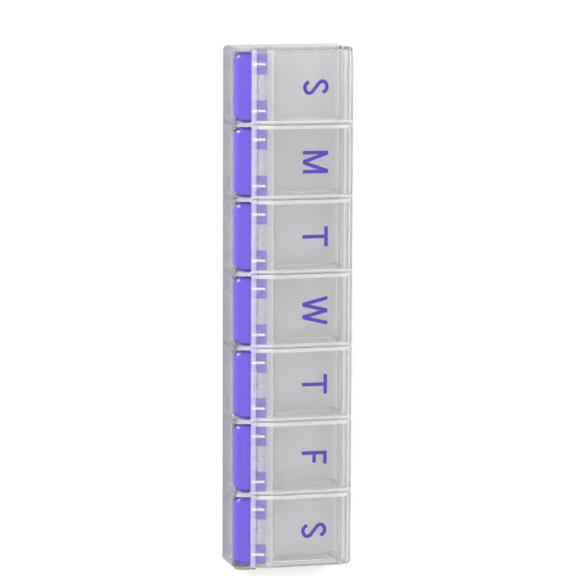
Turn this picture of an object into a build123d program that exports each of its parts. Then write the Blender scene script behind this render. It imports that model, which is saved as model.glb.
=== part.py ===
from build123d import *
import math
import os

# Weekly pill box with one hinged clear lid and one push button for each day.
# Frame: X along the row of days, -Y is the button side, +Y the hinge side, Z up, feet at Z = 0.
# A distance called reach is measured from the front face of the tray towards the hinge. All in mm.

# Row of days
DAYS = ("sunday", "monday", "tuesday", "wednesday", "thursday", "friday", "saturday")
DAY_PITCH = 31.2
WIDTH = 51.0
HEIGHT = 25.0

# Tray walls
DIVIDER = 1.6
SIDE_WALL = 1.4
FLOOR_TOP = 1.8
FOOT_RECESS = 0.5
FOOT_RIM = 3.0
TRAY_CORNER_R = 2.0
TRAY_EDGE = 0.5
SCOOP_R = 7.0
POCKET_BACK_R = 2.0
BULKHEAD_REACH = 16.0
BULKHEAD_LIP = 2.8
RIB_DROP = 0.5
RIB_NOSE_R = 1.6

# Lid shell
LID_GAP = 0.35
LID_WALL = 1.3
SKIRT = 1.2
APRON_ANGLE = 18.5
APRON_REACH = 7.0
CREASE_REACH = 15.5
CREASE_R = 3.0
BACK_R = 5.2
LID_EDGE = 0.6
BEAD = 0.45
BEAD_WIDTH = 1.8

# Lid hinge
ROD_R = 1.5
WEB = 2.7
KNUCKLE_R = 2.6
SNAP_WIDTH = 2.5

# Push button
PLATE = 1.6
PRESS_TRAVEL = 2.1
LIP_SETBACK = 1.0
BUTTON_CORNER_R = 3.6
BUTTON_EDGE = 1.0
CAP_DEPTH = 3.4
CAP_WALL = 1.6
CAP_REAR = 0.9
ARM_WIDTH = 8.4
WINDOW_WIDTH = 3.2
CATCH_BAR = 1.2
LEG_WIDTH = 5.0
LEG = 1.6
GUSSET = 1.2
GUSSET_DROP = 6.0
GUSSET_DEPTH = 3.6
HEEL = 1.2
HEEL_HEIGHT = 1.4
HEEL_DROP = 0.3
LEDGE = 1.0
LEDGE_OVERLAP = 0.7
TAB_WIDTH = 6.0
TAB = 1.2
TAB_REACH = 5.2
TAB_DROP = 6.6

# Latch hook under the lid apron
HOOK_WIDTH = 2.4
HOOK = 1.0
HOOK_NOSE = 0.5
HOOK_NOSE_RISE = 1.1

# Leaf spring behind the button
SPRING_WIDTH = 5.0
SPRING = 0.7
SPRING_BEND_R = 2.0
SPRING_FOOT = 5.2
SPRING_LAP = 1.2
SPRING_GUIDE = 1.0
SPRING_GUIDE_RISE = 3.0

# Clearances
LID_SEAT = 0.3
KNUCKLE_GAP = 0.25
NOTCH_GAP = 0.3
SIDE_GAP = 0.35
SLIDE_GAP = 0.35
STOP_GAP = 0.6
CATCH_GAP = 0.3
FOOT_GAP = 0.2
HEEL_GAP = 0.3
ROD_CLEARANCE = 0.07
SPRING_GAP = 0.25

# Places that follow from the sizes above
DAY_COUNT = len(DAYS)
LENGTH = DAY_COUNT * DAY_PITCH + DIVIDER
DAY_X = [(i - (DAY_COUNT - 1) / 2) * DAY_PITCH for i in range(DAY_COUNT)]
WALL_X = [(i - DAY_COUNT / 2) * DAY_PITCH for i in range(DAY_COUNT + 1)]
BACK = WIDTH / 2
ROOM_WIDTH = DAY_PITCH - DIVIDER
LID_WIDTH = DAY_PITCH - LID_GAP
BUTTON_WIDTH = ROOM_WIDTH - 2 * SIDE_GAP
APRON_TILT = math.radians(APRON_ANGLE)
APRON_FALL = LID_WALL / math.cos(APRON_TILT)
PLATE_FALL = PLATE / math.cos(APRON_TILT)
HINGE_Y = BACK - KNUCKLE_R
HINGE_Z = HEIGHT - BACK_R
SKIRT_Z = HINGE_Z - KNUCKLE_R
RIM_Z = SKIRT_Z - LID_SEAT
KNUCKLE_LENGTH = DAY_PITCH - WEB - 2 * KNUCKLE_GAP
NOTCH = BACK_R - LID_WALL - NOTCH_GAP
SKIRT_INNER = LID_WIDTH / 2 - SKIRT
RIB_REACH = APRON_REACH - LID_SEAT
SKIRT_REACH = APRON_REACH + PRESS_TRAVEL + SIDE_GAP
BEAD_REACH = APRON_REACH + BEAD_WIDTH
ARM_X = SKIRT_INNER - SIDE_GAP - ARM_WIDTH / 2
CAP_INNER = LIP_SETBACK + CAP_WALL
ARM_REACH = BULKHEAD_REACH - PRESS_TRAVEL - STOP_GAP
ARM_ROOT = APRON_REACH + CAP_REAR
WINDOW_BACK = ARM_REACH - CATCH_BAR
HOOK_BACK = WINDOW_BACK - CATCH_GAP - HOOK_NOSE
WINDOW_FRONT = HOOK_BACK - HOOK - PRESS_TRAVEL - CATCH_GAP
FOOT_R = LEG / 2
LEG_FRONT = SIDE_WALL + FOOT_GAP
LEG_BACK = LEG_FRONT + LEG
PIVOT_REACH = LEG_FRONT + FOOT_R
PIVOT_Z = FLOOR_TOP + FOOT_GAP + FOOT_R
HEEL_BACK = LEG_BACK + HEEL
HEEL_LOW = PIVOT_Z - HEEL_DROP
HEEL_TOP = HEEL_LOW + HEEL_HEIGHT
LEDGE_BACK = HEEL_BACK + HEEL_GAP + LEDGE
LEDGE_TOP = HEEL_TOP + FOOT_GAP + LEDGE
TAB_BACK = TAB_REACH + TAB
BULKHEAD_BACK = BULKHEAD_REACH + SIDE_WALL
SPRING_BACK = BULKHEAD_REACH - SPRING_GAP - SPRING / 2


def y_at(reach):
    """Y of a place that lies this far behind the front face."""
    return reach - WIDTH / 2


def apron_top(reach):
    """Height of the lid apron's outer face, carried on to any reach."""
    return HEIGHT - (CREASE_REACH - reach) * math.tan(APRON_TILT)


def apron_under(reach):
    """Height of the lid apron's under face."""
    return apron_top(reach) - APRON_FALL


def face_top(reach):
    """Height of the button's upper face, which slides under the apron."""
    return apron_under(reach) - SLIDE_GAP


def face_under(reach):
    """Height of the button plate's under face."""
    return face_top(reach) - PLATE_FALL


FRONT_TOP = face_top(LIP_SETBACK) - CAP_DEPTH - SLIDE_GAP
SILL_HALF = ROOM_WIDTH / 2 - (RIM_Z - FRONT_TOP)
TAB_Z = face_under(TAB_REACH) - TAB_DROP
NOSE_Z = face_under(WINDOW_BACK) - CATCH_GAP

# Tray: floor, walls, dividers, hinge rod and button pivots
with BuildPart() as tray:
    with BuildSketch():
        RectangleRounded(LENGTH, WIDTH, TRAY_CORNER_R)
    extrude(amount=RIM_Z)

    # Pill compartments, with a floor that sweeps up at the front so that a fingertip can scoop
    with BuildSketch(*[Plane.YZ.offset(x - ROOM_WIDTH / 2) for x in DAY_X]) as pocket:
        with Locations((y_at((BULKHEAD_BACK + WIDTH - SIDE_WALL) / 2), FLOOR_TOP + HEIGHT / 2)):
            Rectangle(WIDTH - SIDE_WALL - BULKHEAD_BACK, HEIGHT)
        fillet(pocket.vertices().sort_by_distance((y_at(BULKHEAD_BACK), FLOOR_TOP))[0], SCOOP_R)
        fillet(pocket.vertices().sort_by_distance((BACK - SIDE_WALL, FLOOR_TOP))[0], POCKET_BACK_R)
    extrude(amount=ROOM_WIDTH, mode=Mode.SUBTRACT)

    # Galleries for the buttons, with the front wall cut down below each button and flared up to the ribs
    with BuildSketch(Plane.XY.offset(FLOOR_TOP)):
        with Locations(*[(x, y_at((SIDE_WALL + BULKHEAD_REACH) / 2)) for x in DAY_X]):
            Rectangle(ROOM_WIDTH, BULKHEAD_REACH - SIDE_WALL)
    extrude(amount=RIM_Z, mode=Mode.SUBTRACT)
    with BuildSketch(*[Plane((x, y_at(SIDE_WALL), 0), x_dir=(1, 0, 0), z_dir=(0, -1, 0)) for x in DAY_X]):
        with BuildLine():
            Polyline(
                (-ROOM_WIDTH / 2, RIM_Z),
                (-SILL_HALF, FRONT_TOP),
                (SILL_HALF, FRONT_TOP),
                (ROOM_WIDTH / 2, RIM_Z),
                close=True,
            )
        make_face()
    extrude(amount=SIDE_WALL, mode=Mode.SUBTRACT)

    # Ribs that stand between the buttons and run on under the lid aprons
    with BuildSketch(*[Plane.YZ.offset(x - DIVIDER / 2) for x in WALL_X]) as rib:
        with BuildLine():
            Polyline(
                (y_at(0), FLOOR_TOP),
                (y_at(0), apron_top(0) - RIB_DROP),
                (y_at(RIB_REACH), apron_top(RIB_REACH) - RIB_DROP),
                (y_at(RIB_REACH), face_top(RIB_REACH)),
                (y_at(SKIRT_REACH - LID_SEAT), face_top(SKIRT_REACH - LID_SEAT)),
                (y_at(SKIRT_REACH - LID_SEAT), FLOOR_TOP),
                close=True,
            )
        make_face()
        fillet(rib.vertices().sort_by_distance((y_at(0), apron_top(0)))[0], RIB_NOSE_R)
    extrude(amount=DIVIDER)

    # Raised lip on each bulkhead, inside the lid skirts
    with BuildSketch(Plane.XY.offset(FLOOR_TOP)):
        with Locations(*[(x, y_at(BULKHEAD_REACH + SIDE_WALL / 2)) for x in DAY_X]):
            Rectangle(2 * (SKIRT_INNER - SIDE_GAP), SIDE_WALL)
    extrude(amount=RIM_Z + BULKHEAD_LIP - FLOOR_TOP)

    # Hinge rod along the back, carried by a web at each divider
    with BuildSketch(Plane.YZ.offset(WALL_X[0])):
        with Locations((HINGE_Y, HINGE_Z)):
            Circle(ROD_R)
    extrude(amount=WALL_X[-1] - WALL_X[0])
    with BuildSketch(*[Plane.YZ.offset(x - WEB / 2) for x in WALL_X]):
        with Locations((HINGE_Y, (FLOOR_TOP + HINGE_Z) / 2)):
            Rectangle(2 * KNUCKLE_R, HINGE_Z - FLOOR_TOP)
    extrude(amount=WEB)

    # Ledge over the heels of the button legs, which keeps the button down and stops it at rest
    with BuildSketch(*[Plane.YZ.offset(x - ROOM_WIDTH / 2) for x in DAY_X]):
        with BuildLine():
            Polyline(
                (y_at(LEDGE_BACK), FLOOR_TOP),
                (y_at(LEDGE_BACK), LEDGE_TOP),
                (y_at(HEEL_BACK - LEDGE_OVERLAP), LEDGE_TOP),
                (y_at(HEEL_BACK - LEDGE_OVERLAP), LEDGE_TOP - LEDGE),
                (y_at(LEDGE_BACK - LEDGE), LEDGE_TOP - LEDGE),
                (y_at(LEDGE_BACK - LEDGE), FLOOR_TOP),
                close=True,
            )
        make_face()
    extrude(amount=ROOM_WIDTH)

    # Low guides that keep each spring in line
    guide_offset = SPRING_WIDTH / 2 + SPRING_GAP + SPRING_GUIDE / 2
    with BuildSketch(Plane.XY.offset(FLOOR_TOP)):
        guide_y = y_at(BULKHEAD_REACH - SPRING_FOOT / 2)
        with Locations(*[(x + side * guide_offset, guide_y) for x in DAY_X for side in (-1, 1)]):
            Rectangle(SPRING_GUIDE, SPRING_FOOT)
    extrude(amount=SPRING_GUIDE_RISE)

    # Everything stays inside the rounded outline, and the underside stands on a rim
    with BuildSketch():
        RectangleRounded(LENGTH, WIDTH, TRAY_CORNER_R)
    extrude(amount=HEIGHT, mode=Mode.INTERSECT)
    chamfer(tray.faces().sort_by(Axis.Z)[0].edges(), TRAY_EDGE)
    with BuildSketch():
        RectangleRounded(LENGTH - 2 * FOOT_RIM, WIDTH - 2 * FOOT_RIM, TRAY_CORNER_R)
    extrude(amount=FOOT_RECESS, mode=Mode.SUBTRACT)

# Lid: flat top, sloping apron, side skirts, hinge knuckle and two latch hooks
with BuildPart() as lid:
    with BuildSketch(Plane.YZ) as shell:
        with BuildLine():
            Polyline(
                (BACK, HINGE_Z),
                (HINGE_Y, HINGE_Z),
                (HINGE_Y, SKIRT_Z),
                (y_at(SKIRT_REACH), SKIRT_Z),
                (y_at(SKIRT_REACH), apron_under(SKIRT_REACH)),
                (y_at(APRON_REACH), apron_under(APRON_REACH)),
                (y_at(APRON_REACH), apron_top(APRON_REACH) + BEAD),
                (y_at(BEAD_REACH), apron_top(BEAD_REACH) + BEAD),
                (y_at(BEAD_REACH + BEAD), apron_top(BEAD_REACH + BEAD)),
                (y_at(CREASE_REACH), HEIGHT),
                (BACK - BACK_R, HEIGHT),
            )
            JernArc((BACK - BACK_R, HEIGHT), (1, 0), BACK_R, -90)
        make_face()
        fillet(shell.vertices().sort_by_distance((y_at(CREASE_REACH), HEIGHT))[0], CREASE_R)
    extrude(amount=LID_WIDTH / 2, both=True)
    outer_sides = lid.faces().filter_by(Axis.X).filter_by(lambda f: abs(f.center().X) > SKIRT_INNER)
    rim = outer_sides.edges().filter_by(lambda e: e.center().Z > apron_top(APRON_REACH))
    apron_edge = lid.edges().sort_by_distance((0, y_at(APRON_REACH), apron_top(APRON_REACH) + BEAD))[0]
    chamfer(rim + [apron_edge], LID_EDGE)

    # Hollow under the shell
    with BuildSketch(Plane.YZ):
        with BuildLine():
            inner_crease = CREASE_REACH + (APRON_FALL - LID_WALL) / math.tan(APRON_TILT)
            Polyline(
                (BACK - LID_WALL, HINGE_Z),
                (BACK - LID_WALL, FLOOR_TOP),
                (y_at(0), FLOOR_TOP),
                (y_at(0), apron_under(0)),
                (y_at(inner_crease), HEIGHT - LID_WALL),
                (BACK - BACK_R, HEIGHT - LID_WALL),
            )
            JernArc((BACK - BACK_R, HEIGHT - LID_WALL), (1, 0), BACK_R - LID_WALL, -90)
        make_face()
    extrude(amount=SKIRT_INNER, both=True, mode=Mode.SUBTRACT)

    # Knuckle that snaps down on the hinge rod, with the back corners cut clear of the webs
    with BuildSketch(Plane.YZ):
        with Locations((HINGE_Y, HINGE_Z)):
            Circle(KNUCKLE_R)
    extrude(amount=KNUCKLE_LENGTH / 2, both=True)
    with BuildSketch(Plane.YZ):
        with Locations((HINGE_Y, HINGE_Z)):
            Circle(ROD_R + ROD_CLEARANCE)
        with Locations((HINGE_Y, HINGE_Z - KNUCKLE_R)):
            Rectangle(SNAP_WIDTH, 2 * KNUCKLE_R)
    extrude(amount=LID_WIDTH / 2, both=True, mode=Mode.SUBTRACT)
    for side in (-1, 1):
        with BuildSketch(Plane.YZ.offset(side * KNUCKLE_LENGTH / 2)):
            with Locations((HINGE_Y, HINGE_Z)):
                Rectangle(2 * NOTCH, 2 * NOTCH)
        extrude(amount=side * LID_WIDTH, mode=Mode.SUBTRACT)

    # Latch hooks that reach down through the windows in the button's arms
    with BuildSketch(*[Plane.YZ.offset(side * ARM_X - HOOK_WIDTH / 2) for side in (-1, 1)]):
        with BuildLine():
            hook_front = HOOK_BACK - HOOK
            Polyline(
                (y_at(hook_front), apron_under(hook_front) + LID_WALL / 2),
                (y_at(HOOK_BACK), apron_under(HOOK_BACK) + LID_WALL / 2),
                (y_at(HOOK_BACK), NOSE_Z),
                (y_at(HOOK_BACK + HOOK_NOSE), NOSE_Z),
                (y_at(HOOK_BACK - HOOK / 2), NOSE_Z - HOOK_NOSE_RISE),
                (y_at(hook_front), NOSE_Z - HOOK_NOSE_RISE),
                close=True,
            )
        make_face()
    extrude(amount=HOOK_WIDTH)

# Button: hollow cap with a sloping face, two windowed arms, two legs and a tab for the spring
with BuildPart() as button:
    with BuildSketch(Plane.YZ):
        with BuildLine():
            Polyline(
                (y_at(LIP_SETBACK), face_top(LIP_SETBACK) - CAP_DEPTH),
                (y_at(LIP_SETBACK), face_top(LIP_SETBACK)),
                (y_at(APRON_REACH), face_top(APRON_REACH)),
                (y_at(APRON_REACH), face_top(APRON_REACH) - CAP_DEPTH),
                close=True,
            )
        make_face()
    extrude(amount=BUTTON_WIDTH / 2, both=True)
    fillet(button.edges().filter_by(Axis.Z).group_by(Axis.Y)[0], BUTTON_CORNER_R)
    face = button.faces().sort_by(Axis.Z)[-1]
    chamfer(face.edges().sort_by(Axis.Y)[:-1], BUTTON_EDGE)
    with BuildSketch(Plane.YZ):
        with BuildLine():
            Polyline(
                (y_at(CAP_INNER), FLOOR_TOP),
                (y_at(CAP_INNER), face_under(CAP_INNER)),
                (y_at(ARM_REACH), face_under(ARM_REACH)),
                (y_at(ARM_REACH), FLOOR_TOP),
                close=True,
            )
        make_face()
    extrude(amount=BUTTON_WIDTH / 2 - CAP_WALL, both=True, mode=Mode.SUBTRACT)

    # Arms that slide under the apron, each with a window for a latch hook
    with BuildSketch(Plane.YZ):
        with BuildLine():
            Polyline(
                (y_at(APRON_REACH), face_under(APRON_REACH)),
                (y_at(APRON_REACH), face_top(APRON_REACH)),
                (y_at(ARM_REACH), face_top(ARM_REACH)),
                (y_at(ARM_REACH), face_under(ARM_REACH)),
                close=True,
            )
        make_face()
    extrude(amount=ARM_X + ARM_WIDTH / 2, both=True)
    with BuildSketch():
        with Locations((0, y_at((ARM_ROOT + ARM_REACH) / 2))):
            Rectangle(2 * ARM_X - ARM_WIDTH, ARM_REACH - ARM_ROOT)
        with Locations(*[(side * ARM_X, y_at((WINDOW_FRONT + WINDOW_BACK) / 2)) for side in (-1, 1)]):
            Rectangle(WINDOW_WIDTH, WINDOW_BACK - WINDOW_FRONT)
    extrude(amount=HEIGHT, mode=Mode.SUBTRACT)

    # Legs behind the front wall, each with a round foot, a heel and a gusset
    for side in (-1, 1):
        with BuildSketch(Plane.YZ.offset(side * ARM_X - LEG_WIDTH / 2)):
            with BuildLine():
                Polyline(
                    (y_at(LEG_FRONT), PIVOT_Z),
                    (y_at(LEG_FRONT), face_under(LEG_FRONT) + PLATE / 2),
                    (y_at(LEG_BACK), face_under(LEG_BACK) + PLATE / 2),
                    (y_at(LEG_BACK), HEEL_TOP),
                    (y_at(HEEL_BACK), HEEL_TOP),
                    (y_at(HEEL_BACK), HEEL_LOW),
                    (y_at(PIVOT_REACH), HEEL_LOW),
                    close=True,
                )
            make_face()
            with Locations((y_at(PIVOT_REACH), PIVOT_Z)):
                Circle(FOOT_R)
        extrude(amount=LEG_WIDTH)
        with BuildSketch(Plane.YZ.offset(side * ARM_X - GUSSET / 2)):
            with BuildLine():
                gusset_back = LEG_BACK + GUSSET_DEPTH
                Polyline(
                    (y_at(LEG_FRONT), face_under(LEG_BACK) - GUSSET_DROP),
                    (y_at(LEG_FRONT), face_under(LEG_FRONT) + PLATE / 2),
                    (y_at(gusset_back), face_under(gusset_back) + PLATE / 2),
                    (y_at(gusset_back), face_under(gusset_back) - GUSSET),
                    (y_at(LEG_BACK), face_under(LEG_BACK) - GUSSET_DROP),
                    close=True,
                )
            make_face()
        extrude(amount=GUSSET)

    # Tab under the face, which bears on the spring
    with BuildSketch(Plane.YZ):
        with BuildLine():
            Polyline(
                (y_at(TAB_REACH), TAB_Z),
                (y_at(TAB_REACH), face_under(TAB_REACH) + PLATE / 2),
                (y_at(TAB_BACK), face_under(TAB_BACK) + PLATE / 2),
                (y_at(TAB_BACK), TAB_Z),
                close=True,
            )
        make_face()
    extrude(amount=TAB_WIDTH / 2, both=True)

# Leaf spring with its foot on the floor against the bulkhead and its free end on the button's tab
with BuildPart() as spring:
    with BuildSketch(Plane.YZ):
        with BuildLine():
            spring_low = FLOOR_TOP + SPRING_GAP + SPRING / 2
            spring_high = TAB_Z + SPRING_LAP
            FilletPolyline(
                (y_at(SPRING_BACK), spring_low),
                (y_at(SPRING_BACK - SPRING_FOOT), spring_low),
                (y_at(TAB_BACK + SPRING_GAP + SPRING / 2), spring_high),
                radius=SPRING_BEND_R,
            )
        trace(line_width=SPRING)
    extrude(amount=SPRING_WIDTH / 2, both=True)

# One tray, and a lid, a button and a spring for each day
os.makedirs("parts", exist_ok=True)
tray.part.label = "base_tray"
export_step(tray.part, "parts/base_tray.step")
for day, x in zip(DAYS, DAY_X):
    for kind, piece in (("lid", lid), ("button", button), ("spring", spring)):
        placed = piece.part.moved(Location((x, 0, 0)))
        placed.label = f"{kind}_{day}"
        export_step(placed, f"parts/{kind}_{day}.step")
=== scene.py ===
"""Looks of a weekly pill box: seven translucent lids, seven purple push buttons and one clear tray.

All sizes below are in millimetres, in the frame of the solids: X runs along the days, -Y is the button
side, +Y the hinge side and Z is up. One function turns them into Blender's metres.
"""

import logging
import math
from dataclasses import dataclass, field
from enum import Enum
from typing import Any, Dict, List, Optional, Sequence, Tuple

import bmesh
import bpy
from mathutils import Matrix, Vector


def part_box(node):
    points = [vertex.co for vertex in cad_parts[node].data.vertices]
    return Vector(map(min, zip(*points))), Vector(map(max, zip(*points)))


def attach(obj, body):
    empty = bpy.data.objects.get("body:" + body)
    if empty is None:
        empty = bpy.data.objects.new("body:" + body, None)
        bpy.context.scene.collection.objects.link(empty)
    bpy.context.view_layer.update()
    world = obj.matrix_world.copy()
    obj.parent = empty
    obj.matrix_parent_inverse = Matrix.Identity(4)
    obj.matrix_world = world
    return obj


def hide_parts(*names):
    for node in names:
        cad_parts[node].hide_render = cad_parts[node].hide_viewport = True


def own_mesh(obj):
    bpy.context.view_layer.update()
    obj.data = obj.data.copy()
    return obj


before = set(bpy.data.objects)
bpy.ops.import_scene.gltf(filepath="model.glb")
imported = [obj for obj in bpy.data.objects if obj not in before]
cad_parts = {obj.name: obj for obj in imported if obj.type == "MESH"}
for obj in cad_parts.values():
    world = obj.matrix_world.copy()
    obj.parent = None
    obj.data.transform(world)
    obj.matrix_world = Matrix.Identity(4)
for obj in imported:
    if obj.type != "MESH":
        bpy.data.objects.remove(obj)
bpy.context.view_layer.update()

LOG = logging.getLogger("pill_box")
MM = 0.001

Point = Tuple[float, float]
Tree = bpy.types.NodeTree
Socket = bpy.types.NodeSocket

# Places of the solids that the finishes follow: the days' pitch, the line between two days, the latch
# arms on both sides of a day's middle, and places beyond the front and back faces
DAY_PITCH = 31.2
DAY_EDGE = DAY_PITCH / 2
ARM_X = 9.68
PAST_FRONT, PAST_BACK = -26.0, 26.0

# Numbers of the Mix node's colour sockets, which share their names with its other sockets
MIX_SHARE, MIX_FIRST, MIX_SECOND, MIX_RESULT = 0, 6, 7, 2
# Blender's noise seldom leaves this range
NOISE_RANGE = (0.3, 0.7)
# How much of the mould's grain the bump shows
GRAIN_STRENGTH = 0.35


class Day(Enum):
    """The days of the row, in order, with the initial that is printed on each lid."""

    SUNDAY = ("sunday", "S")
    MONDAY = ("monday", "M")
    TUESDAY = ("tuesday", "T")
    WEDNESDAY = ("wednesday", "W")
    THURSDAY = ("thursday", "T")
    FRIDAY = ("friday", "F")
    SATURDAY = ("saturday", "S")

    @property
    def key(self) -> str:
        """Name of the day as it stands in the names of the solids."""
        return self.value[0]

    @property
    def initial(self) -> str:
        """The letter on the day's lid."""
        return self.value[1]


def metres(*values_mm: float) -> Vector:
    """Turns a place in millimetres into a vector in metres."""
    return Vector([v * MM for v in values_mm])


def linear(hex_colour: str) -> Tuple[float, float, float, float]:
    """Turns an sRGB hex colour into linear RGBA.

    Args:
        hex_colour: A colour such as "#826AE4".

    Returns:
        Red, green, blue and an alpha of one, as shader sockets take them.
    """
    channels = [int(hex_colour[i:i + 2], 16) / 255 for i in (1, 3, 5)]
    red, green, blue = [c / 12.92 if c <= 0.04045 else ((c + 0.055) / 1.055) ** 2.4 for c in channels]
    return red, green, blue, 1.0


def add_node(tree: Tree, kind: str, settings: Dict[str, Any], inputs: Dict[Any, Any]) -> bpy.types.Node:
    """Adds one node, sets it up and links it.

    Args:
        tree: The tree that gets the node.
        kind: Blender's name of the node type.
        settings: Attributes of the node.
        inputs: Values for its sockets, by name or number, or sockets of other nodes to link to them.

    Returns:
        The new node.
    """
    node = tree.nodes.new(kind)
    for name, value in settings.items():
        setattr(node, name, value)
    for name, value in inputs.items():
        if isinstance(value, bpy.types.NodeSocket):
            tree.links.new(value, node.inputs[name])
        else:
            node.inputs[name].default_value = value
    return node


def add_math(tree: Tree, operation: str, *values: Any) -> Socket:
    """Adds one step of arithmetic.

    Args:
        tree: The tree that gets the node.
        operation: Blender's name of the operation.
        values: Its numbers, or sockets that give them.

    Returns:
        The socket with the result.
    """
    return add_node(tree, "ShaderNodeMath", {"operation": operation}, dict(enumerate(values))).outputs[0]


def add_mix(tree: Tree, share: Socket, first: Any, second: Any) -> Socket:
    """Adds a blend of two colours.

    Args:
        tree: The tree that gets the node.
        share: How much of the second colour shows.
        first: A linear colour, or a socket that gives it.
        second: The other colour.

    Returns:
        The socket with the blend.
    """
    return add_node(tree, "ShaderNodeMix", {"data_type": "RGBA"}, {
        MIX_SHARE: share, MIX_FIRST: first, MIX_SECOND: second,
    }).outputs[MIX_RESULT]


def add_range(tree: Tree, value: Socket, source: Point = (0.0, 1.0), target: Point = (0.0, 1.0)) -> Socket:
    """Carries a value over from one range to another, and stops at its ends.

    Args:
        tree: The tree that gets the node.
        value: The value.
        source: Both ends of the range that it comes from.
        target: Both ends of the range that it goes to.

    Returns:
        The socket with the result.
    """
    return add_node(tree, "ShaderNodeMapRange", {}, {
        "Value": value,
        "From Min": source[0], "From Max": source[1],
        "To Min": target[0], "To Max": target[1],
    }).outputs["Result"]


def start_material(name: str) -> Tuple[bpy.types.Material, Tree]:
    """Makes an empty node material.

    Args:
        name: Name of the material.

    Returns:
        The material and its tree.
    """
    material = bpy.data.materials.new(name)
    material.use_nodes = True
    material.node_tree.nodes.clear()
    return material, material.node_tree


def add_place(tree: Tree) -> Socket:
    """Adds the place on the solid, in metres, and gives its socket."""
    return add_node(tree, "ShaderNodeTexCoord", {}, {}).outputs["Object"]


def add_surface(tree: Tree, inputs: Dict[str, Any]) -> None:
    """Adds a Principled shader as the tree's surface.

    Args:
        tree: The material's tree.
        inputs: Values or sockets for the shader.
    """
    shader = add_node(tree, "ShaderNodeBsdfPrincipled", {}, inputs)
    add_node(tree, "ShaderNodeOutputMaterial", {}, {"Surface": shader.outputs["BSDF"]})


@dataclass(frozen=True)
class Noise:
    """The character of a noise pattern, apart from its size."""

    detail: float
    roughness: float = 0.5
    distortion: float = 0.0

    def build(self, tree: Tree, place: Socket, size_mm: float) -> Socket:
        """Adds the pattern at a real size.

        Args:
            tree: The material's tree.
            place: The place on the solid, in metres.
            size_mm: Size of the pattern's patches.

        Returns:
            A socket between zero and one.
        """
        return add_node(tree, "ShaderNodeTexNoise", {}, {
            "Vector": place, "Scale": 1 / (size_mm * MM), "Detail": self.detail,
            "Roughness": self.roughness, "Distortion": self.distortion,
        }).outputs["Fac"]


# Swirls of the melt, the mould's grain, and thin patches in a film of ink
MELT_FLOW = Noise(detail=3.0, distortion=0.6)
MOULD_GRAIN = Noise(detail=2.0, roughness=0.6)
INK_PATCHES = Noise(detail=4.0)


def add_gloss(tree: Tree, pattern: Socket, roughness: float, spread: float) -> Socket:
    """Adds a roughness that follows a noise pattern.

    Args:
        tree: The material's tree.
        pattern: The noise pattern.
        roughness: Middle roughness.
        spread: How far it goes to both sides.

    Returns:
        The socket with the roughness.
    """
    return add_range(tree, pattern, NOISE_RANGE, (roughness - spread, roughness + spread))


def add_grain(
    tree: Tree, place: Socket, size_mm: float, depth_mm: float, normal: Optional[Socket] = None
) -> Socket:
    """Adds the mould's grain as a bump.

    Args:
        tree: The material's tree.
        place: The place on the solid, in metres.
        size_mm: Size of the grain.
        depth_mm: Its depth.
        normal: The normal that it disturbs, where that isn't the plain one.

    Returns:
        The socket with the new normal.
    """
    inputs = {
        "Height": MOULD_GRAIN.build(tree, place, size_mm),
        "Strength": GRAIN_STRENGTH,
        "Distance": depth_mm * MM,
    }
    if normal is not None:
        inputs["Normal"] = normal
    return add_node(tree, "ShaderNodeBump", {}, inputs).outputs["Normal"]


@dataclass(frozen=True)
class MilkyZone:
    """A part of every day's stretch where light has far to go in the plastic, so that it looks whiter.

    It lies on both sides of the day's middle, at a distance along X, and between two places along Y. It
    may stop short of the row's two ends. Its colour is the plastic's near white, or a lavender that is
    painted purple light from the buttons and arms beneath.
    """

    x_mm: float
    x_half_mm: float
    y_low_mm: float
    y_high_mm: float
    clearness: float
    colour: str = "#FDFDFE"
    row_half_mm: float = 120.0


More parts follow.
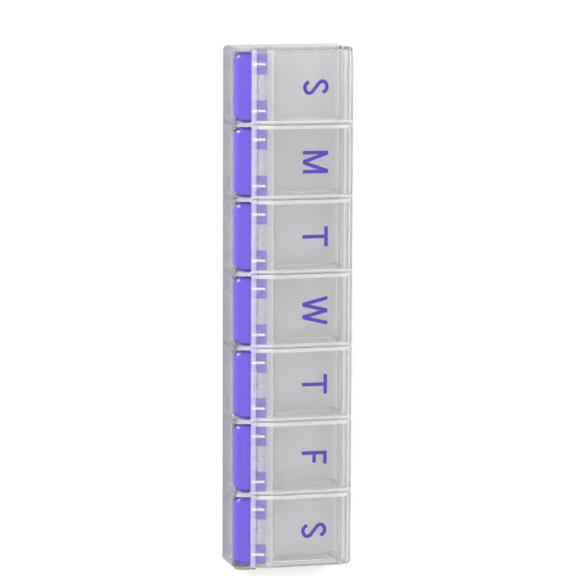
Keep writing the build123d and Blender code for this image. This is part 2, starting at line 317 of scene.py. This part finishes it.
@dataclass(frozen=True)
class ClearPlastic:
    """Natural polypropylene, injection moulded: clear in a thin wall, milky in a thick one, and darker edge
    on, partly from light lost on the long path and partly as painted shade.

    The flow of the melt leaves soft clouds a centimetre or two wide. The grain of the mould is about
    0.05 mm, too fine to show, so it is drawn coarser.
    """

    name: str
    colour: str
    cloud_colour: str
    edge_absorption_and_shade_colour: str
    roughness: float
    roughness_spread: float
    clearness: float
    cloud_mm: float
    grain_mm: float
    grain_depth_mm: float
    zones: Tuple[MilkyZone, ...]
    soft_mm: float = 0.6
    edge_blend: float = 0.5
    edge_start: float = 0.45
    edge_full: float = 0.80
    ior: float = 1.49

    def within(self, tree: Tree, place: Socket, middle_mm: float, half_mm: float) -> Socket:
        """Tells how far a coordinate lies within a range, with a soft edge.

        Args:
            tree: The material's tree.
            place: The coordinate, in metres.
            middle_mm: Middle of the range.
            half_mm: Half the width of the range.

        Returns:
            A socket that is one within the range and zero outside it.
        """
        off = add_math(tree, "SUBTRACT", place, middle_mm * MM)
        apart = add_math(tree, "ABSOLUTE", off)
        return add_range(tree, apart, ((half_mm + self.soft_mm) * MM, half_mm * MM))

    def add_zones(self, tree: Tree, place: Socket, tint: Socket) -> Tuple[Socket, Socket]:
        """Works out clearness and colour at each place from the milky zones.

        Args:
            tree: The material's tree.
            place: The place on the solid, in metres.
            tint: The colour outside the zones.

        Returns:
            A socket with the lowest clearness of the zones that hold the place, and one with their colour.
        """
        axes = add_node(tree, "ShaderNodeSeparateXYZ", {}, {"Vector": place}).outputs
        across = add_math(tree, "PINGPONG", axes["X"], DAY_EDGE * MM)
        lowest: Any = 1.0
        for zone in self.zones:
            y_middle = (zone.y_low_mm + zone.y_high_mm) / 2
            y_half = (zone.y_high_mm - zone.y_low_mm) / 2
            in_x = self.within(tree, across, zone.x_mm, zone.x_half_mm)
            in_y = self.within(tree, axes["Y"], y_middle, y_half)
            in_row = self.within(tree, axes["X"], 0.0, zone.row_half_mm)
            inside = add_math(tree, "MULTIPLY", add_math(tree, "MULTIPLY", in_x, in_y), in_row)
            clear = add_range(tree, inside, target=(self.clearness, zone.clearness))
            lowest = add_math(tree, "MINIMUM", clear, lowest)
            tint = add_mix(tree, inside, tint, linear(zone.colour))
        return lowest, tint

    def build(self) -> bpy.types.Material:
        """Makes the material.

        Returns:
            A node material on a Principled shader.
        """
        material, tree = start_material(self.name)
        place = add_place(tree)
        clouds = MELT_FLOW.build(tree, place, self.cloud_mm)
        tint = add_mix(tree, clouds, linear(self.colour), linear(self.cloud_colour))
        # Darker where the wall is seen edge on: partly light lost on the long path through the plastic,
        # partly painted shade
        facing = add_node(tree, "ShaderNodeLayerWeight", {}, {"Blend": self.edge_blend}).outputs["Facing"]
        edge_absorption_and_shade_share = add_range(tree, facing, (self.edge_start, self.edge_full))
        shade = add_mix(tree, edge_absorption_and_shade_share, tint, linear(self.edge_absorption_and_shade_colour))
        clearness, colour = self.add_zones(tree, place, shade)
        add_surface(tree, {
            "Base Color": colour,
            "Roughness": add_gloss(tree, clouds, self.roughness, self.roughness_spread),
            "Transmission Weight": clearness,
            "Normal": add_grain(tree, place, self.grain_mm, self.grain_depth_mm),
            "IOR": self.ior,
        })
        return material


@dataclass(frozen=True)
class FilledPlastic:
    """A moulded plastic with enough pigment to be opaque: a little light still spreads under its skin.

    The mould rounds every edge by a few tenths of a millimetre, which the shader does here, and leaves a
    grain of about 0.05 mm, which is drawn coarser so that it shows.
    """

    name: str
    colour: str
    flow_colour: str
    roughness: float
    roughness_spread: float
    flow_mm: float
    grain_mm: float
    grain_depth_mm: float
    edge_mm: float
    subsurface: float
    subsurface_mm: float
    edge_samples: int = 6
    ior: float = 1.49

    def build(self) -> bpy.types.Material:
        """Makes the material.

        Returns:
            A node material on a Principled shader.
        """
        material, tree = start_material(self.name)
        place = add_place(tree)
        flow = MELT_FLOW.build(tree, place, self.flow_mm)
        edges = add_node(tree, "ShaderNodeBevel", {"samples": self.edge_samples}, {
            "Radius": self.edge_mm * MM,
        })
        add_surface(tree, {
            "Base Color": add_mix(tree, flow, linear(self.colour), linear(self.flow_colour)),
            "Roughness": add_gloss(tree, flow, self.roughness, self.roughness_spread),
            "Normal": add_grain(tree, place, self.grain_mm, self.grain_depth_mm, edges.outputs["Normal"]),
            "IOR": self.ior,
            "Subsurface Weight": self.subsurface,
            "Subsurface Scale": self.subsurface_mm * MM,
        })
        return material


@dataclass(frozen=True)
class PrintedInk:
    """Pad-printed ink: an opaque film a few hundredths of a millimetre thick, a little patchy."""

    name: str
    colour: str
    thin_colour: str
    roughness: float
    patch_mm: float
    ior: float = 1.5

    def build(self) -> bpy.types.Material:
        """Makes the material.

        Returns:
            A node material on a Principled shader.
        """
        material, tree = start_material(self.name)
        patches = INK_PATCHES.build(tree, add_place(tree), self.patch_mm)
        add_surface(tree, {
            "Base Color": add_mix(tree, patches, linear(self.colour), linear(self.thin_colour)),
            "Roughness": self.roughness,
            "IOR": self.ior,
        })
        return material


TRAY_ZONES = (
    # The ribs between the buttons
    MilkyZone(x_mm=DAY_EDGE, x_half_mm=0.9, y_low_mm=-23.6, y_high_mm=-19.0, clearness=0.76,
              row_half_mm=107.6),
    # The dividers between the compartments
    MilkyZone(x_mm=DAY_EDGE, x_half_mm=0.9, y_low_mm=-18.4, y_high_mm=PAST_BACK, clearness=0.50,
              row_half_mm=107.6),
)
LID_ZONES = (
    # The side skirts, and their outer faces on the gap to the next lid
    MilkyZone(x_mm=DAY_EDGE, x_half_mm=1.4, y_low_mm=PAST_FRONT, y_high_mm=PAST_BACK, clearness=0.68,
              row_half_mm=106.8),
    MilkyZone(x_mm=DAY_EDGE, x_half_mm=0.1, y_low_mm=PAST_FRONT, y_high_mm=PAST_BACK, clearness=0.40,
              row_half_mm=106.8),
    # The apron over the latch arms: a little milky, and tinted lavender as painted purple light from the
    # arms
    MilkyZone(x_mm=ARM_X, x_half_mm=3.7, y_low_mm=-17.0, y_high_mm=-12.6, clearness=0.90, colour="#D8D1FF"),
    # The bead along the front edge: milky, and tinted lavender as painted light off the purple button
    MilkyZone(x_mm=DAY_EDGE / 2, x_half_mm=DAY_EDGE / 2, y_low_mm=PAST_FRONT, y_high_mm=-17.0,
              clearness=0.72, colour="#DDD9F8"),
    # The roots of the two hooks
    MilkyZone(x_mm=ARM_X, x_half_mm=0.2, y_low_mm=-18.0, y_high_mm=-13.4, clearness=0.62),
    # The apron between the arms: milky, with a faint lavender tint of painted purple light from the arms
    MilkyZone(x_mm=0.0, x_half_mm=5.0, y_low_mm=-16.4, y_high_mm=-12.4, clearness=0.83, colour="#F3F1FC"),
    # The apron's upper end, and the flat top behind it
    MilkyZone(x_mm=DAY_EDGE / 2, x_half_mm=DAY_EDGE / 2, y_low_mm=-12.2, y_high_mm=-10.0,
              clearness=0.84),
    MilkyZone(x_mm=DAY_EDGE / 2, x_half_mm=DAY_EDGE / 2, y_low_mm=-9.0, y_high_mm=PAST_BACK,
              clearness=0.91),
)

# Natural polypropylene with ribs and dividers that show as white lines from above
# Its dark edge-on colour is partly light lost in the wall and partly painted shade on faces seen edge on,
# such as the front wall
TRAY_POLYPROPYLENE = ClearPlastic(
    name="natural_polypropylene_tray", colour="#FDFDFE", cloud_colour="#FAFAFC", edge_absorption_and_shade_colour="#544F61",
    roughness=0.18, roughness_spread=0.02, clearness=0.94, cloud_mm=24.0,
    grain_mm=0.6, grain_depth_mm=0.001, zones=TRAY_ZONES)
# The same plastic moulded against a polished face, milky at its skirts, its bead and the roots of its hooks
# Its lavender zones are painted purple light off the buttons; its grey edge-on tint is partly light lost in
# the wall, partly painted shade
LID_POLYPROPYLENE = ClearPlastic(
    name="natural_polypropylene_lid", colour="#FDFDFE", cloud_colour="#FAFAFC", edge_absorption_and_shade_colour="#C4C1CC",
    roughness=0.12, roughness_spread=0.02, clearness=0.95, cloud_mm=18.0,
    grain_mm=0.5, grain_depth_mm=0.001, zones=LID_ZONES)
# Polypropylene with purple masterbatch: opaque, with a soft gloss and bright corners
BUTTON_POLYPROPYLENE = FilledPlastic(
    name="purple_polypropylene", colour="#523AA6", flow_colour="#553DAA",
    roughness=0.20, roughness_spread=0.02, flow_mm=30.0, grain_mm=0.45, grain_depth_mm=0.002,
    edge_mm=0.4, subsurface=0.12, subsurface_mm=1.2)
# Natural acetal: white, dense and slippery
SPRING_ACETAL = FilledPlastic(
    name="natural_acetal", colour="#E9E8E2", flow_colour="#DDDCD6",
    roughness=0.35, roughness_spread=0.05, flow_mm=6.0, grain_mm=0.4, grain_depth_mm=0.004,
    edge_mm=0.15, subsurface=0.3, subsurface_mm=1.0)
# Ink in the buttons' purple, a little darker
LETTER_INK = PrintedInk(
    name="purple_pad_print_ink", colour="#361D8F", thin_colour="#3C2597", roughness=0.42, patch_mm=0.8)


def dress(node: str, material: bpy.types.Material) -> None:
    """Puts one material on a solid of the frame.

    Args:
        node: Name of the solid.
        material: The material that takes the place of its plain one.
    """
    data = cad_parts[node].data
    data.materials.clear()
    data.materials.append(material)
    LOG.info("dressed %s in %s", node, material.name)


def finish_piece(name: str, mesh: bmesh.types.BMesh) -> bpy.types.Object:
    """Turns a mesh into an object of the scene.

    Args:
        name: Name of the new object.
        mesh: Its mesh, in place, which is freed.

    Returns:
        The new object.
    """
    data = bpy.data.meshes.new(name)
    mesh.to_mesh(data)
    mesh.free()
    piece = bpy.data.objects.new(name, data)
    bpy.context.scene.collection.objects.link(piece)
    return piece


@dataclass
class DayLetter:
    """A plain initial printed on a lid, drawn from a cap height and a stroke width.

    The bow of S is given by places along its middle line, from its upper end: a share of half its width,
    and a depth below its highest place.
    """

    cap: float = 10.9
    stroke: float = 1.5
    ink: float = 0.05
    sink: float = 0.02
    t_width: float = 8.4
    f_width: float = 5.5
    f_bar_short: float = 0.6
    m_width: float = 9.4
    w_width: float = 12.2
    s_width: float = 6.4
    s_bow: Tuple[Point, ...] = ((0.96, 1.75), (0.45, 0.28), (-0.25, 0.0), (-0.92, 1.05), (-0.88, 2.85))
    s_steps: int = 48

    def outline(self, initial: str) -> List[Point]:
        """Outline of a letter that stands on Y = 0, centred on X = 0.

        Args:
            initial: One of S, M, T, W and F.

        Returns:
            Its corners in order, in millimetres.
        """
        return {"T": self.t_outline, "F": self.f_outline, "M": self.m_outline, "W": self.w_outline,
                "S": self.s_outline}[initial]()

    def t_outline(self) -> List[Point]:
        """Outline of T, a bar on a stem."""
        half, s, h = self.t_width / 2, self.stroke / 2, self.cap
        low = h - self.stroke
        return [(-s, 0), (s, 0), (s, low), (half, low), (half, h), (-half, h), (-half, low), (-s, low)]

    def f_outline(self) -> List[Point]:
        """Outline of F, a stem with two bars, the lower one shorter."""
        left, right, s, h = -self.f_width / 2, self.f_width / 2, self.stroke, self.cap
        inner, short = left + s, right - self.f_bar_short
        bar_low, bar_high = h / 2 - s / 2, h / 2 + s / 2
        return [(left, 0), (inner, 0), (inner, bar_low), (short, bar_low), (short, bar_high),
                (inner, bar_high), (inner, h - s), (right, h - s), (right, h), (left, h)]

    def m_outline(self) -> List[Point]:
        """Outline of M, upright legs with a valley down to the baseline."""
        a, s, h = self.m_width / 2, self.stroke, self.cap
        t = s * math.hypot(1, a / h)
        run = a - t / 2
        valley, shoulder = h * (t / 2) / run, h * (1 - s / run)
        right = [(0, valley), (a - t, h), (a, h), (a, 0), (a - s, 0), (a - s, shoulder), (t / 2, 0)]
        return right + [(-x, y) for x, y in reversed(right[1:])]

    def w_outline(self) -> List[Point]:
        """Outline of W, four slanting strokes."""
        b, h = self.w_width / 2, self.cap
        t = self.stroke * math.hypot(1, b / 2 / h)
        run = b - t / 2
        foot = run / 2
        right = [(0, h * (1 - t / run)), (foot - t / 2, 0), (foot + t / 2, 0), (b, h), (b - t, h),
                 (foot, h * t / run), (t / 2, h)]
        return right + [(-x, y) for x, y in reversed(right[1:])]

    def s_outline(self) -> List[Point]:
        """Outline of S, a ribbon of even width along a smooth line that is the same upside down."""
        half, h, s = (self.s_width - self.stroke) / 2, self.cap, self.stroke / 2
        upper = [(half * share, h - s - depth) for share, depth in self.s_bow]
        line = self.smooth([*upper, (0, h / 2), *[(-x, h - y) for x, y in reversed(upper)]])
        left, right = [], []
        for i, (x, y) in enumerate(line):
            ax, ay = line[max(i - 1, 0)]
            bx, by = line[min(i + 1, len(line) - 1)]
            run = math.hypot(bx - ax, by - ay)
            nx, ny = -(by - ay) / run * s, (bx - ax) / run * s
            left.append((x + nx, y + ny))
            right.append((x - nx, y - ny))
        return left + right[::-1]

    def smooth(self, guide: Sequence[Point]) -> List[Point]:
        """A smooth line through guide points.

        Args:
            guide: The points that the line passes.

        Returns:
            Points along a Catmull-Rom spline.
        """
        padded = [guide[0], *guide, guide[-1]]
        steps = self.s_steps // (len(guide) - 1)
        line: List[Point] = []
        for p0, p1, p2, p3 in zip(padded, padded[1:], padded[2:], padded[3:]):
            for k in range(steps):
                u = k / steps
                line.append(tuple(
                    0.5 * (2 * b + (c - a) * u + (2 * a - 5 * b + 4 * c - d) * u * u
                           + (3 * b - a - 3 * c + d) * u ** 3)
                    for a, b, c, d in zip(p0, p1, p2, p3)))
        return line + [guide[-1]]

    def build(self, name: str, initial: str, centre: Point, face_z: float) -> bpy.types.Object:
        """Makes the printed letter as a thin closed solid on a lid's top face.

        Args:
            name: Name of the new object.
            initial: The letter.
            centre: Middle of the letter, in X and Y.
            face_z: Height of the lid's top face.

        Returns:
            The new object, in place.
        """
        mesh = bmesh.new()
        corners = [(centre[0] + x, centre[1] + y - self.cap / 2) for x, y in self.outline(initial)]
        face = mesh.faces.new([mesh.verts.new(metres(x, y, face_z - self.sink)) for x, y in corners])
        raised = bmesh.ops.extrude_face_region(mesh, geom=[face])
        verts = [g for g in raised["geom"] if isinstance(g, bmesh.types.BMVert)]
        bmesh.ops.translate(mesh, verts=verts, vec=metres(0, 0, self.sink + self.ink))
        bmesh.ops.triangulate(mesh, faces=[f for f in mesh.faces if len(f.verts) > 4])
        bmesh.ops.recalc_face_normals(mesh, faces=mesh.faces)
        return finish_piece(name, mesh)


@dataclass
class ClearTray:
    """The moulded tray with its compartments, galleries and hinge rod."""

    node: str = "base_tray"
    finish: ClearPlastic = TRAY_POLYPROPYLENE

    def dress(self) -> None:
        """Gives the tray its finish."""
        dress(self.node, self.finish.build())


@dataclass
class LidRow:
    """The seven lids and the initials printed on them."""

    finish: ClearPlastic = LID_POLYPROPYLENE
    ink: PrintedInk = LETTER_INK
    letter: DayLetter = field(default_factory=DayLetter)
    letter_y: float = 8.0

    def dress(self) -> None:
        """Gives every lid its finish."""
        material = self.finish.build()
        for day in Day:
            dress(f"lid_{day.key}", material)

    def build_letters(self) -> None:
        """Prints the initials, each riding on its own lid."""
        material = self.ink.build()
        for day in Day:
            low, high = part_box(f"lid_{day.key}")
            centre = ((low.x + high.x) / 2 / MM, self.letter_y)
            piece = self.letter.build(f"letter_{day.key}", day.initial, centre, high.z / MM)
            piece.data.materials.append(material)
            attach(piece, f"lid_{day.key}")
            LOG.info("printed %s", piece.name)


@dataclass
class ButtonRow:
    """The seven push buttons."""

    finish: FilledPlastic = BUTTON_POLYPROPYLENE

    def dress(self) -> None:
        """Gives every button its finish."""
        material = self.finish.build()
        for day in Day:
            dress(f"button_{day.key}", material)


@dataclass
class SpringRow:
    """The leaf springs behind the buttons: a foot on the floor, one bend and a leaf up to the button's tab.

    Each stands in for its solid, on the same line. The leaf leans, so the middle of its end lies a
    little below its highest corner.
    """

    finish: FilledPlastic = SPRING_ACETAL
    thick: float = 0.7
    foot: float = 5.2
    tip_drop: float = 0.0875
    bend_r: float = 2.0
    bend_steps: int = 8
    pressed_share: float = 0.86

    def line(self, low: Vector, high: Vector) -> List[Point]:
        """Middle line of a spring in Y and Z.

        Args:
            low: Lowest corner of the solid that it stands in for, in metres.
            high: Highest corner of that solid.

        Returns:
            Points from the foot's end, round the bend, to the leaf's tip, in millimetres.
        """
        half = self.thick / 2
        heel = Vector((high.y / MM - self.foot, low.z / MM + half))
        tip = Vector((low.y / MM + half, high.z / MM - self.tip_drop))
        rise = (tip - heel).normalized()
        turn = math.atan2(rise.y, -rise.x)
        reach = self.bend_r * math.tan(turn / 2)
        centre = heel + Vector((reach, self.bend_r))
        bend = [
            (centre.x - self.bend_r * math.sin(turn * k / self.bend_steps),
             centre.y - self.bend_r * math.cos(turn * k / self.bend_steps))
            for k in range(self.bend_steps + 1)
        ]
        return [(high.y / MM, heel.y), *bend, (tip.x, tip.y)]

    def build(self, name: str, node: str) -> bpy.types.Object:
        """Makes one spring as a closed strip.

        Args:
            name: Name of the new object.
            node: The solid that it stands in for.

        Returns:
            The new object, in place.
        """
        low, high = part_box(node)
        line = self.line(low, high)
        mesh = bmesh.new()
        rings = []
        for i, (y, z) in enumerate(line):
            ahead, behind = line[min(i + 1, len(line) - 1)], line[max(i - 1, 0)]
            run = Vector((ahead[0] - behind[0], ahead[1] - behind[1])).normalized()
            side = Vector((-run.y, run.x)) * self.thick / 2
            corners = [(low.x / MM, 1), (high.x / MM, 1), (high.x / MM, -1), (low.x / MM, -1)]
            rings.append([mesh.verts.new(metres(x, y + k * side.x, z + k * side.y)) for x, k in corners])
        for first, second in zip(rings, rings[1:]):
            for k in range(len(first)):
                after = (k + 1) % len(first)
                mesh.faces.new((first[k], first[after], second[after], second[k]))
        mesh.faces.new(rings[0][::-1])
        mesh.faces.new(rings[-1])
        bmesh.ops.recalc_face_normals(mesh, faces=mesh.faces)
        return finish_piece(name, mesh)

    def build_all(self) -> None:
        """Makes the seven springs, each fixed to the tray."""
        material = self.finish.build()
        for day in Day:
            node = f"spring_{day.key}"
            piece = self.build(f"leaf_spring_{day.key}", node)
            piece.data.materials.append(material)
            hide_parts(node)
            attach(piece, "tray")
            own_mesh(piece)
            LOG.info("built %s", piece.name)


@dataclass(frozen=True)
class SoftLight:
    """One studio softbox, as a rectangle that faces the box."""

    name: str
    place: Tuple[float, float, float]
    size: Tuple[float, float]
    watts: float
    colour: str = "#FFFFFF"

    def build(self) -> None:
        """Hangs the light and turns it to the middle of the box."""
        data = bpy.data.lights.new(self.name, "AREA")
        data.shape = "RECTANGLE"
        data.size, data.size_y = self.size[0] * MM, self.size[1] * MM
        data.energy = self.watts
        data.color = linear(self.colour)[:3]
        lamp = bpy.data.objects.new(self.name, data)
        lamp.location = metres(*self.place)
        lamp.rotation_euler = (-lamp.location).to_track_quat("-Z", "Y").to_euler()
        bpy.context.scene.collection.objects.link(lamp)
        LOG.info("hung %s", self.name)


@dataclass
class Studio:
    """Floor, light and camera. The camera looks down on the lids, with Sunday at the top."""

    floor_side: float = 6000.0
    floor_drop: float = 0.2
    floor_colour: str = "#F7F7F7"
    floor_roughness: float = 0.9
    floor_specular: float = 0.1
    sky_colour: str = "#FFFFFF"
    sky_lean: Tuple[float, float, float] = (-0.40, -0.05, 0.91)
    zenith_strength: float = 2.05
    horizon_strength: float = 0.35
    bounces: int = 24
    diffuse_bounces: int = 8
    aim: Tuple[float, float, float] = (-8.08, -0.15, 12.0)
    distance: float = 1460.3
    swing_deg: float = 15.07
    pitch_deg: float = 7.80
    roll_deg: float = 0.22
    lens_mm: float = 216.9
    sensor_mm: float = 36.0
    far_mm: float = 100000.0
    lights: Tuple[SoftLight, ...] = (
        SoftLight(name="key_softbox", place=(-860.0, -1190.0, 200.0), size=(460.0, 400.0), watts=32.0),
    )

    def build_floor(self) -> None:
        """Lays a pale floor just under the box."""
        half = self.floor_side / 2
        mesh = bmesh.new()
        corners = [(-half, -half), (half, -half), (half, half), (-half, half)]
        mesh.faces.new([mesh.verts.new(metres(x, y, -self.floor_drop)) for x, y in corners])
        floor = finish_piece("floor", mesh)
        material, tree = start_material("studio_floor_paper")
        add_surface(tree, {
            "Base Color": linear(self.floor_colour),
            "Roughness": self.floor_roughness,
            "Specular IOR Level": self.floor_specular,
        })
        floor.data.materials.append(material)

    def build_light(self) -> None:
        """Sets a pale sky, brightest overhead and a little to Sunday's end, and hangs the softboxes."""
        world = bpy.data.worlds.new("studio_sky")
        world.use_nodes = True
        tree = world.node_tree
        tree.nodes.clear()
        heading = add_node(tree, "ShaderNodeTexCoord", {}, {}).outputs["Generated"]
        height = add_node(tree, "ShaderNodeVectorMath", {"operation": "DOT_PRODUCT"}, {
            0: heading, 1: Vector(self.sky_lean).normalized(),
        }).outputs["Value"]
        strength = add_range(tree, height, target=(self.horizon_strength, self.zenith_strength))
        sky = add_node(tree, "ShaderNodeBackground", {}, {
            "Color": linear(self.sky_colour), "Strength": strength,
        })
        add_node(tree, "ShaderNodeOutputWorld", {}, {"Surface": sky.outputs["Background"]})
        scene = bpy.context.scene
        scene.world = world
        scene.view_settings.view_transform = "Standard"
        # Enough bounces for light to pass lid, button gallery, tray and floor, and come back
        scene.cycles.max_bounces = self.bounces
        scene.cycles.transmission_bounces = self.bounces
        scene.cycles.diffuse_bounces = self.diffuse_bounces
        for light in self.lights:
            light.build()

    def build_camera(self) -> None:
        """Places the camera by its swing to the button side and its pitch to Sunday's end."""
        swing, pitch, roll = [math.radians(a) for a in (self.swing_deg, self.pitch_deg, self.roll_deg)]
        back = Vector((
            -math.sin(pitch), -math.sin(swing) * math.cos(pitch), math.cos(swing) * math.cos(pitch)))
        to_sunday = Vector((-1, 0, 0))
        up = (to_sunday - back * to_sunday.dot(back)).normalized()
        right = up.cross(back)
        turned_right = right * math.cos(roll) + up * math.sin(roll)
        turned_up = up * math.cos(roll) - right * math.sin(roll)
        data = bpy.data.cameras.new("camera")
        data.sensor_width = self.sensor_mm
        data.lens = self.lens_mm
        data.clip_end = self.far_mm * MM
        camera = bpy.data.objects.new("camera", data)
        turn = Matrix((turned_right, turned_up, back)).transposed().to_4x4()
        camera.matrix_world = Matrix.Translation(metres(*self.aim) + back * self.distance * MM) @ turn
        bpy.context.scene.collection.objects.link(camera)
        bpy.context.scene.camera = camera


def main() -> None:
    """Dresses the box piece by piece and sets up the studio."""
    logging.basicConfig(level=logging.INFO, format="%(name)s: %(message)s")
    ClearTray().dress()
    lids = LidRow()
    lids.dress()
    lids.build_letters()
    ButtonRow().dress()
    SpringRow().build_all()
    studio = Studio()
    studio.build_floor()
    studio.build_light()
    studio.build_camera()


if __name__ == "__main__":
    main()
